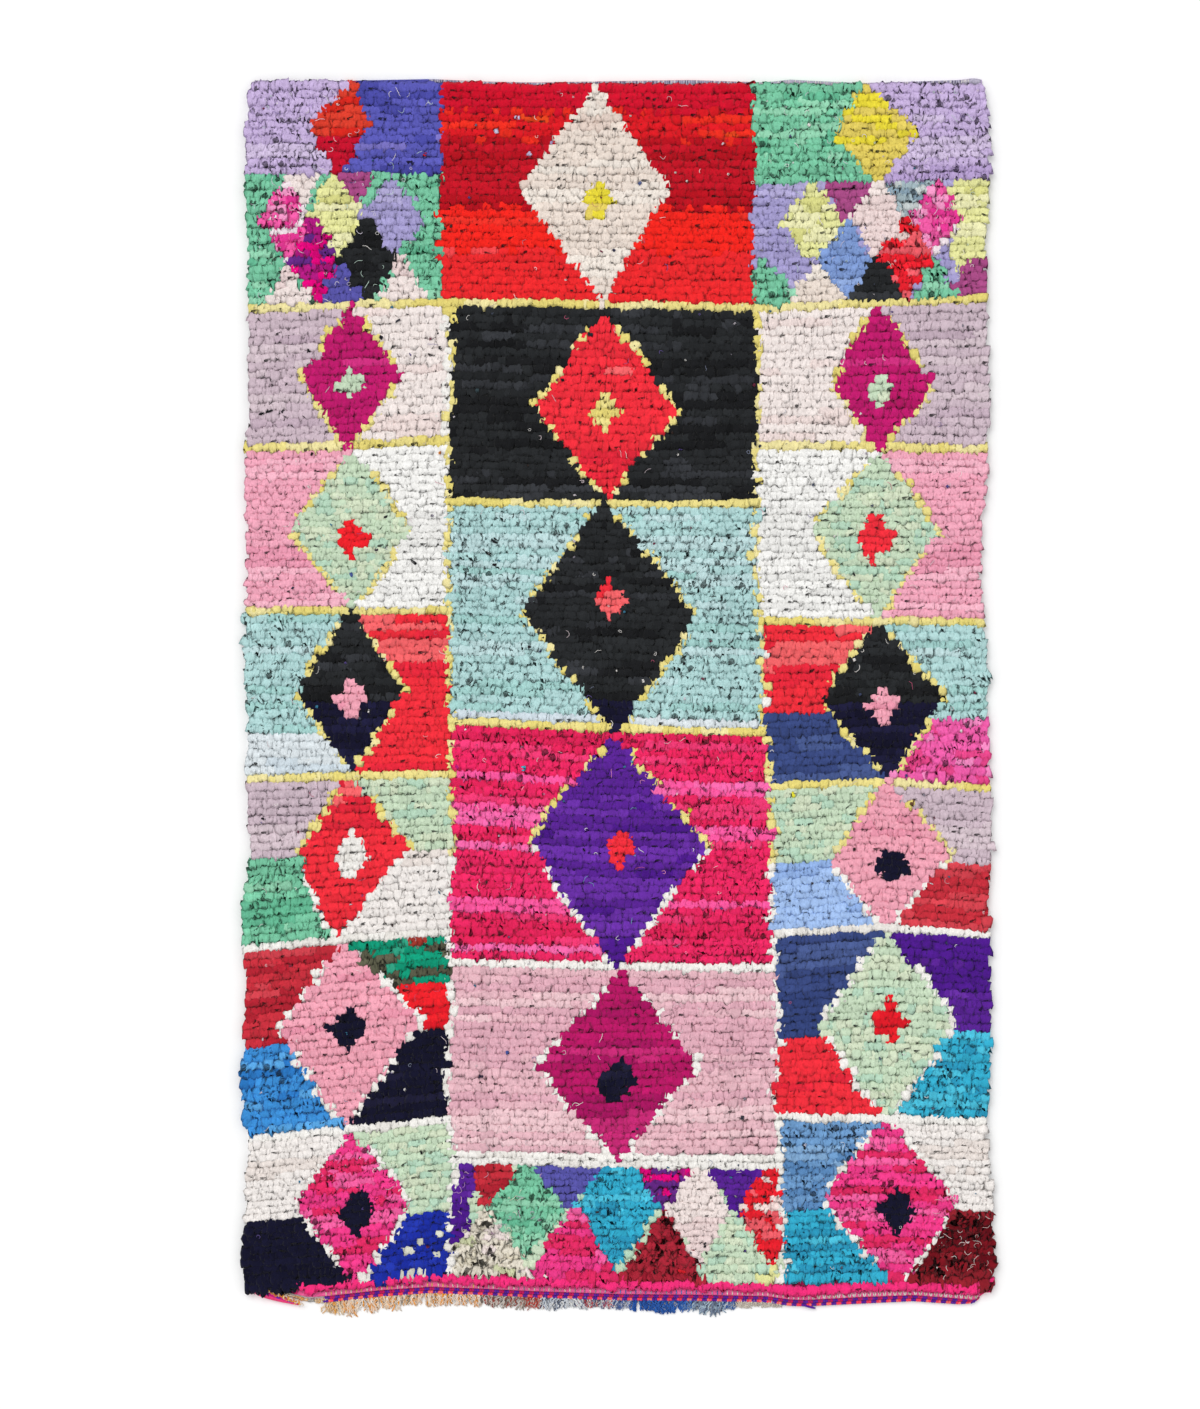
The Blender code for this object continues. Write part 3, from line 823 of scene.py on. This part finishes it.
def make_edging(rng, material):
    """Two rows of twined yarn: purple takes turns with magenta above and coral below."""
    bm = bmesh.new()
    bmesh.ops.create_uvsphere(bm, u_segments=6, v_segments=4, radius=0.5)
    bead, faces = read_shape(bm)
    points, colours = [], []
    for index in range(int((EDGING_END - EDGING_START) / STITCH)):
        x = MIDDLE + EDGING_START + (index + 0.5) * STITCH
        half = edging_half_width(x)
        middle = lower_y(x) - 0.0003 - half
        turn = math.atan2(lower_y(x + 0.01) - lower_y(x - 0.01), 0.02) + TWIST
        for row, yarn in ((1, UPPER_YARN), (-1, LOWER_YARN)):
            size = np.array((1.55 * STITCH, 1.25 * half, 0.0078))
            across, along, up = (bead * size).T
            place = (x + 0.0015 * row, middle + 0.5 * half * row, 0.0046 + rng.normal(0, 0.0002))
            points.append(np.stack((
                place[0] + across * math.cos(turn) - along * math.sin(turn),
                place[1] + across * math.sin(turn) + along * math.cos(turn),
                place[2] + up), 1))
            shades = PURPLE_YARN if index % 4 < 2 else yarn
            colours.append(np.tile(pick(rng, shades), (len(bead), 1)))
    return join_copies("twined_cord", np.array(points), faces, np.array(colours), material)


def make_yarn_end(material):
    """The purple yarn of the edging ends in a short stub."""
    root = MIDDLE + 0.380
    path = [(root + x, lower_y(root) + y, z) for x, y, z in (
        (0.000, -0.0100, 0.006), (0.010, -0.0125, 0.007), (0.020, -0.0150, 0.006), (0.026, -0.0165, 0.005))]
    colours = [[linear(PURPLE_YARN[0])] * len(path)]
    return make_strands("edging_yarn_end", [path], [0.0026], colours, material, sides=6)


def flat_strip(name, start, end, line, width, height, shades, rng, material):
    """A narrow plain-woven strip from start to end across, its outer edge along a line of the rug."""
    bm = bmesh.new()
    dye = bm.verts.layers.float_color.new("dye")
    bmesh.ops.create_grid(bm, x_segments=180, y_segments=4, size=0.5)
    for vertex in bm.verts:
        x = MIDDLE + start + (vertex.co.x + 0.5) * (end - start)
        share = vertex.co.y + 0.5
        vertex.co = (x, line(x) + width * share, height + 0.0008 * math.sin(share * math.pi))
        vertex[dye] = (*pick(rng, shades), 1)
    raised = bmesh.ops.extrude_face_region(bm, geom=list(bm.faces))
    for item in raised["geom"]:
        if isinstance(item, bmesh.types.BMVert):
            item.co.z = 0.0052
    bmesh.ops.recalc_face_normals(bm, faces=bm.faces)
    mesh = bpy.data.meshes.new(name)
    bm.to_mesh(mesh)
    bm.free()
    mesh.shade_smooth()
    return new_object(name, mesh, material)


BAND_TICKS = (
    # (across from the middle in metres, shades of the warps that show in the flat band from there on)
    (-0.600, ("F0C46A", "F2E6CE")),
    (-0.280, ("C8BCB0", "8C8A92", "E8DCC8")),
    (-0.025, ("3F6AB4", "5C86C8", "A8B4C4")),
    (0.220, ("F2EFE8", "E6DCCC")),
)
BAND_PITCH = 0.0104
UPPER_TICKS = (("3C3A5C", "E8E2DC", "8C88A8"), ("C8C0D4", "E4DCD8"))
UPPER_PITCH = 0.0046


def make_band_ticks(rng, material):
    """The warps that show as short pale stitches over the flat band."""
    paths, colours = [], []
    for index in range(int((EDGING_END - EDGING_START) / BAND_PITCH)):
        x = MIDDLE + EDGING_START + 0.004 + index * BAND_PITCH + rng.normal(0, 0.0006)
        shades = [row[1] for row in BAND_TICKS if row[0] + MIDDLE <= x][-1]
        colour = pick(rng, shades, 0.05)
        for side in ((-1, 1) if x - MIDDLE > 0.40 else (0,)):  # pairs towards the right
            top = (x + 0.0030 * side, lower_y(x) + BAND_WIDTH * 0.80, 0.0072)
            bottom = (x + 0.0008 * side, lower_y(x) + 0.0015, 0.0072)
            bend = ((top[0] + bottom[0]) / 2, (top[1] + bottom[1]) / 2, 0.0082)
            paths.append((top, bend, bottom))
            colours.append([colour] * 3)
    return make_strands("band_warps", paths, [0.0013] * len(paths), colours, material)


def make_upper_ticks(rng, material):
    """A comb of dark and pale warps along the flat upper end, right of the left-hand panel."""
    paths, colours = [], []
    for index in range(int(1.10 / UPPER_PITCH)):
        x = MIDDLE - 0.375 + index * UPPER_PITCH + rng.normal(0, 0.0005)
        shades = UPPER_TICKS[0] if x - MIDDLE < 0.28 or x - MIDDLE > 0.60 else UPPER_TICKS[1]
        top = upper_y(x) - 0.0006
        paths.append([(x + 0.0006 * math.sin(index), top - reach, 0.0066) for reach in (0, 0.004, 0.008)])
        colours.append([pick(rng, shades, 0.1)] * 3)
    return make_strands("upper_warps", paths, [0.0010] * len(paths), colours, material)


FRINGE = (
    # (across from the middle in metres, reach past the edging in metres, shades)
    (-0.694, 0.010, ("E9A94F", "F0E2CE", "F0E2CE")),
    (-0.660, 0.009, ("E9A94F", "F0E2CE")),
    (-0.632, 0.013, ("B8B4B0", "DCD6D0")),
    (-0.620, 0.014, ("E9A94F", "F0E2CE", "EFD0A8")),
    (-0.575, 0.034, ("EFA03C", "F3DCC8", "F3E8DC", "F0D2B0")),
    (-0.540, 0.037, ("EFA03C", "F3DCC8", "F3E8DC")),
    (-0.495, 0.028, ("EFA03C", "F3DCC8", "F3E8DC", "F0D2B0")),
    (-0.465, 0.036, ("EFA03C", "F0DCC6", "E8DCD0")),
    (-0.440, 0.026, ("9A9488", "E4DCD0", "EFB060")),
    (-0.420, 0.027, ("EFA03C", "F3DCC8", "F3E8DC", "F0D2B0")),
    (-0.380, 0.030, ("EFA03C", "F3DCC8", "F3E8DC")),
    (-0.335, 0.028, ("EFA03C", "F3DCC8", "E8DCD0", "F3E8DC")),
    (-0.285, 0.026, ("B05048", "C8C0B8", "7A6A60", "E4DCD4")),
    (-0.240, 0.026, ("A8483C", "DCD4CC", "86766C", "C4BAB0")),
    (-0.190, 0.028, ("C8302C", "D0C4BC", "B8483C")),
    (-0.160, 0.027, ("C8D0DC", "E8E8E8", "5C6478")),
    (-0.115, 0.027, ("ECECEA", "DADDE2", "C8CCD4")),
    (-0.085, 0.022, ("C83438", "8890A4", "3C4668", "E0DCD8")),
    (-0.040, 0.020, ("C83438", "5C6890", "D8D8DC")),
    (-0.010, 0.020, ("7080A8", "C8CCD8", "4C66A0")),
    (0.030, 0.024, ("2F62B4", "3C70C0", "244E9C")),
    (0.088, 0.033, ("2F62B4", "3C70C0", "264F98")),
    (0.125, 0.024, ("2F62B4", "7090C0", "3C70C0")),
    (0.150, 0.025, ("8898B0", "BFD4E0", "6A7890")),
    (0.195, 0.034, ("A8C4DC", "98A4B8", "34405C")),
    (0.215, 0.022, ("6C88B8", "B8C0CC", "3C64A8")),
    (0.235, 0.017, ("E0D6CA", "CFC4B8")),
    (0.326, 0.009, ("DDD2C6", "C8BCB2")),
)
YARNS_TO_A_GROUP = 8
FRINGE_PITCH = 0.0125
FRINGE_STEPS = 6


def make_fringe(rng, material):
    """The warp ends below the edging: kinked yarns in leaning bunches, with their colours in turn."""
    places = [row[0] for row in FRINGE]
    paths, radii, colours = [], [], []
    for group in range(int((places[-1] - places[0]) / FRINGE_PITCH) + 1):
        root = places[0] + group * FRINGE_PITCH
        reach = float(np.interp(root, places, [row[1] for row in FRINGE]))
        reach *= 0.86 + 0.14 * math.sin(2.4 * group)
        shades = [row[2] for row in FRINGE if row[0] <= root + 0.001][-1]
        lean = rng.normal(-0.12, 0.28)
        for number in range(YARNS_TO_A_GROUP):
            x = MIDDLE + root + FRINGE_PITCH * (number + rng.random()) / YARNS_TO_A_GROUP
            width = 0.0 if root < EDGING_START else edging_half_width(x)
            top = lower_y(x) - max(0.004, 1.2 * width)
            end = lower_y(x) - 0.0005 - 2 * width - reach * rng.uniform(0.8, 1.0)
            colour = linear(shades[(number + group) % len(shades)]) * rng.uniform(0.80, 1.05)
            other = linear(shades[(number + 1) % len(shades)])
            bend = lean + rng.normal(0, 0.25)
            path, along = [], []
            for step in range(FRINGE_STEPS + 1):
                share = step / FRINGE_STEPS
                kink = 0.0022 * math.sin(step * 2.3 + number * 1.7 + group) + rng.normal(0, 0.0009)
                height = 0.0024 + 0.0050 * math.sin(math.pi * min(share + 0.25, 1)) * rng.uniform(0.2, 1)
                path.append((x + bend * reach * share + kink, top + (end - top) * share, height))
                along.append(colour if (step + number) % 3 else 0.5 * (colour + other))
            paths.append(path)
            radii.append(rng.uniform(0.0012, 0.0019))
            colours.append(along)
    return make_strands("warp_ends", paths, radii, colours, material)


FLAP_START, FLAP_END = -0.748, -0.652


def flap_crest(share):
    """The upper edge of the turned-up corner, from its left end, 0, to its point, 1."""
    return LOWER_END + 0.021 - 0.039 * share ** 1.1


def make_flap(rng, material):
    """The lower left corner, where the flat-woven end is turned up and leans over as a small leaf."""
    bm = bmesh.new()
    dye = bm.verts.layers.float_color.new("dye")
    bmesh.ops.create_grid(bm, x_segments=24, y_segments=8, size=0.5)
    for vertex in bm.verts:
        share = vertex.co.x + 0.5
        down = 0.5 - vertex.co.y  # 0 along the upper edge, 1 along the lower
        x = MIDDLE + FLAP_START + (FLAP_END - FLAP_START) * share
        width = flap_crest(share) - (LOWER_END + 0.012 - 0.034 * share ** 0.45)
        ripple = 0.0008 * math.sin(45 * share) * math.sin(math.pi * down)
        height = 0.008 + 0.006 * math.sin(math.pi * down) * (1 - 0.5 * share) + ripple
        vertex.co = (x, flap_crest(share) - width * down, height)
        shade = "F0407A" if down > 0.55 else "C8207F" if down > 0.2 else "F05A90"
        if 0.15 < down < 0.6 and round(share * 24) % 6 in (1, 2):
            shade = "5F2499"
        vertex[dye] = (*(linear(shade) * rng.uniform(0.85, 1.08)), 1)
    raised = bmesh.ops.extrude_face_region(bm, geom=list(bm.faces))
    for item in raised["geom"]:
        if isinstance(item, bmesh.types.BMVert):
            item.co.z = 0.0005
    bmesh.ops.recalc_face_normals(bm, faces=bm.faces)
    mesh = bpy.data.meshes.new("turned_corner")
    bm.to_mesh(mesh)
    bm.free()
    mesh.shade_smooth()
    return new_object("turned_corner", mesh, material)


def make_flap_loops(rng, material):
    """Orange and cream warp loops over the upper edge of the turned-up corner."""
    paths, radii, colours = [], [], []
    for index in range(26):
        share = 0.08 + (index + 0.5) / 26
        x = MIDDLE + FLAP_START + (FLAP_END - FLAP_START) * share
        y = flap_crest(share) + 0.001 + rng.normal(0, 0.0015)
        size = rng.uniform(0.0028, 0.0046)
        first = rng.uniform(0, 6.28)
        paths.append([(x + size * math.cos(first + a), y + size * math.sin(first + a), 0.0135 - 0.003 * share)
                      for a in (0.0, 1.1, 2.2, 3.3, 4.4)])
        radii.append(0.0013)
        colours.append([pick(rng, (("E9A94F", "F0E2CE", "F09A30")[index % 3],))] * 5)
    return make_strands("corner_loops", paths, radii, colours, material)


# ---------------------------------------------------------------- strays
THREAD_STEPS = 6
# Loose threads: where, how many, and their shades.
THREADS = (
    # (left, right, top, bottom in centimetres, count, shades)
    (1, 150, 1, 244, 230, ("F4F0EC", "E8D8DC", "D8C8D0", "F4F0EC")),
    (1, 150, 1, 244, 60, ("8890A8", "C86080", "6A5A9A")),
    (1, 38, 1, 44, 60, ("E4DCEC", "C8E0D4", "F0E8EC")),
    (106, 149, 1, 44, 55, ("E4DCEC", "C8E0D4", "F0E8EC")),
    (138, 150, 228, 244, 30, ("E8DCD8", "D8C4C0")),
    (43, 56, 228, 244, 30, ("F2EADC", "E8E0CC")),
    (42, 105, 134, 180, 25, ("FFA0C8", "F8D0DC", "7AA8C8")),
    (41, 60, 222, 240, 20, ("E8B8D0", "D0A0C8")),
)


def make_threads(rng, material):
    """Frayed ends and lint threads that lie curled on the pile."""
    paths, radii, colours = [], [], []
    for left, right, top, bottom, count, shades in THREADS:
        for _ in range(count):
            x, y = on_rug(rng.uniform(left, right), rng.uniform(top, bottom))
            heading, bend = rng.uniform(0, 6.28), rng.normal(0, 0.75)
            pace = rng.uniform(0.0016, 0.0038)
            path = []
            for step in range(THREAD_STEPS + 1):
                path.append((x, y, 0.0205 + 0.0016 * math.sin(math.pi * step / THREAD_STEPS)))
                x += pace * math.cos(heading)
                y += pace * math.sin(heading)
                heading += bend + rng.normal(0, 0.35)
            paths.append(path)
            radii.append(rng.uniform(0.00035, 0.00060))
            colours.append([pick(rng, shades)] * (THREAD_STEPS + 1))
    return make_strands("loose_threads", paths, radii, colours, material, sides=3)


# Odd scraps caught in the pile: each pokes out between two rows.
SCRAPS = (
    # (across, down in centimetres, shade, width, length in millimetres)
    (55.8, 141.7, "38B4D0", 9, 9),
    (42.6, 141.9, "C02080", 8, 9),
    (11.9, 54.9, "1C1C20", 7, 10),
    (26.6, 52.6, "2A2A30", 6, 9),
    (30.3, 49.4, "3A3A44", 4, 12),
    (38.6, 55.4, "24242A", 6, 7),
    (33.1, 16.5, "1E1C3A", 12, 8),
    (36.1, 15.0, "C02030", 9, 7),
    (54.9, 7.0, "C9C0E0", 10, 9),
    (50.6, 10.3, "CFC8E4", 9, 9),
    (57.6, 14.7, "C9C0E0", 9, 10),
    (62.1, 12.5, "A8A0C8", 6, 9),
    (69.5, 52.0, "2A2A34", 10, 8),
    (46.4, 64.0, "3A4A50", 7, 8),
    (50.6, 94.3, "1C1C22", 9, 13),
    (51.0, 99.6, "241C20", 6, 9),
    (28.1, 89.6, "24242A", 10, 7),
    (34.4, 99.6, "1E1E24", 5, 13),
    (26.4, 96.6, "3A3040", 8, 9),
    (21.1, 102.0, "4A5C9A", 7, 7),
    (39.1, 77.1, "E08A3A", 6, 5),
    (90.0, 149.0, "E8E23C", 8, 10),
    (111.0, 145.5, "E8E23C", 10, 8),
    (135.0, 147.4, "6A4A34", 16, 10),
    (78.0, 139.0, "4CA8C8", 6, 7),
    (80.0, 20.6, "5C6A9A", 5, 9),
    (75.0, 34.6, "40405A", 5, 8),
    (4.0, 67.4, "1C1C20", 12, 5),
    (2.4, 67.6, "1C1C20", 9, 6),
    (6.6, 67.3, "26262C", 7, 5),
    (53.0, 199.0, "4A5AA0", 6, 7),
    (98.4, 196.0, "7A3040", 5, 7),
    (101.0, 213.0, "3A3A44", 6, 8),
    (48.0, 204.0, "3A3048", 8, 6),
    (86.2, 230.0, "F0E8E0", 8, 6),
    (88.0, 243.0, "D8202C", 14, 7),
    (60.5, 244.6, "F0E6E0", 9, 6),
)
RANDOM_SCRAPS = 240
SCRAP_SHADES = ("2A2A30", "3C4460", "24242A", "5C6478", "1C1C20", "8A8490", "F0ECE8", "5A4A8A", "7A3048",
                "3E7C9A", "40302C", "D8D0D8")


def scatter_scraps(rng):
    """The charted scraps and some strewn about, in the same terms as the knots."""
    rows = [(*on_rug(across, down), linear(shade), wide / 1000, long / 1000)
            for across, down, shade, wide, long in SCRAPS]
    for _ in range(RANDOM_SCRAPS):
        across, down = rng.uniform(1, 150), rng.uniform(2, 244)
        shade = pick(rng, SCRAP_SHADES)
        rows.append((*on_rug(across, down), shade, rng.uniform(0.0025, 0.006), rng.uniform(0.003, 0.007)))
    count = len(rows)
    x, y, colour, wide, long = (np.array(part) for part in zip(*rows))
    return {
        "x": x, "y": y, "colour": colour, "wide": wide, "spacing": long, "long": np.full(count, 0.8),
        "kind": rng.integers(SHAPES_TO_A_KIND, len(KINDS) * SHAPES_TO_A_KIND, count),
        "turn": rng.normal(0, 0.9, count), "lift": rng.normal(0.0030, 0.0008, count),
    }


# ---------------------------------------------------------------- build
rng = np.random.default_rng(7)
# The fifth figure of each is how deep the painted crease shade darkens the colour.
jersey = cloth("dyed_jersey", 0.95, 0.05, 0.08, 0.10, 800.0, 0.7)
backing = cloth("woven_back", 0.95, 0.05, 0.08, 0.10, 500.0, 0.7)
twine = cloth("twined_yarn", 0.85, 0.10, 0.06, 0.12, 1500.0, 0.5)
warp = cloth("kinked_warp", 0.90, 0.05, 0.10, 0.15, 1500.0, 0.6)
knots = tie_knots(rng)
made = [knot_shape(kind, 100 * kind + n) for kind in range(len(KINDS)) for n in range(SHAPES_TO_A_KIND)]
shapes, faces = np.array([points for points, _ in made]), made[0][1]
levels = knot_levels()
for number, first in enumerate(range(0, int(knots["row"].max()) + 1, ROWS_TO_A_PIECE)):
    chosen = (knots["row"] >= first) & (knots["row"] < first + ROWS_TO_A_PIECE)
    part = {key: value[chosen] for key, value in knots.items()}
    pile_piece(f"pile_rows_{number + 1}", part, shapes, faces, levels, jersey)
ground = make_ground(knots, backing)
points, colours = lay_knots(scatter_scraps(rng), shapes, levels)
trim = [
    join_copies("caught_scraps", points, faces, colours, jersey),
    make_threads(rng, warp),
    flat_strip("flat_band", -0.655, 0.743, lambda x: lower_y(x) + 0.0005, BAND_WIDTH * 1.5, 0.0066,
               ("F25C98", "F46AA4"), rng, backing),
    make_band_ticks(rng, warp),
    flat_strip("upper_band", -0.385, 0.745, lambda x: upper_y(x) - 0.0125, 0.012, 0.0060,
               ("A9A4B8", "B8B2C4"), rng, backing),
    make_upper_ticks(rng, warp),
    make_flap(rng, twine),
    make_flap_loops(rng, warp),
    make_yarn_end(twine),
]
cord = make_edging(rng, twine)
fringe = make_fringe(rng, warp)
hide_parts("rug_body")
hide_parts("twined_edging")
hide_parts("warp_fringe")

# ---------------------------------------------------------------- floor, light and camera
floor_mesh = bpy.data.meshes.new("floor")
floor_bm = bmesh.new()
bmesh.ops.create_grid(floor_bm, x_segments=1, y_segments=1, size=30)
floor_bm.to_mesh(floor_mesh)
floor_bm.free()
floor = bpy.data.objects.new("floor", floor_mesh)
floor.location.z = FLOOR
bpy.context.scene.collection.objects.link(floor)
floor_paint = bpy.data.materials.new("floor_paint")
floor_paint.use_nodes = True
floor_paint.node_tree.nodes["Principled BSDF"].inputs["Base Color"].default_value = (0.93, 0.93, 0.93, 1)
floor_paint.node_tree.nodes["Principled BSDF"].inputs["Roughness"].default_value = 1.0
floor_mesh.materials.append(floor_paint)

world = bpy.data.worlds.new("studio")
bpy.context.scene.world = world
world.use_nodes = True
world.node_tree.nodes["Background"].inputs["Color"].default_value = (1, 1, 1, 1)
world.node_tree.nodes["Background"].inputs["Strength"].default_value = 0.84

sun_data = bpy.data.lights.new("soft_daylight", "SUN")
sun_data.energy = 1.15
sun_data.angle = math.radians(40)
sun = bpy.data.objects.new("soft_daylight", sun_data)
sun.rotation_euler = Vector((-0.35, 0.60, 1.0)).to_track_quat("Z", "Y").to_euler()
bpy.context.scene.collection.objects.link(sun)

camera_data = bpy.data.cameras.new("camera")
camera = bpy.data.objects.new("camera", camera_data)
bpy.context.scene.collection.objects.link(camera)
bpy.context.scene.camera = camera
camera_data.lens = 85
VIEW_HEIGHT = 2.888
camera.location = (MIDDLE - 0.035, UPPER_END - 1.276, VIEW_HEIGHT * camera_data.lens / 36)
bpy.context.scene.view_settings.view_transform = "Standard"
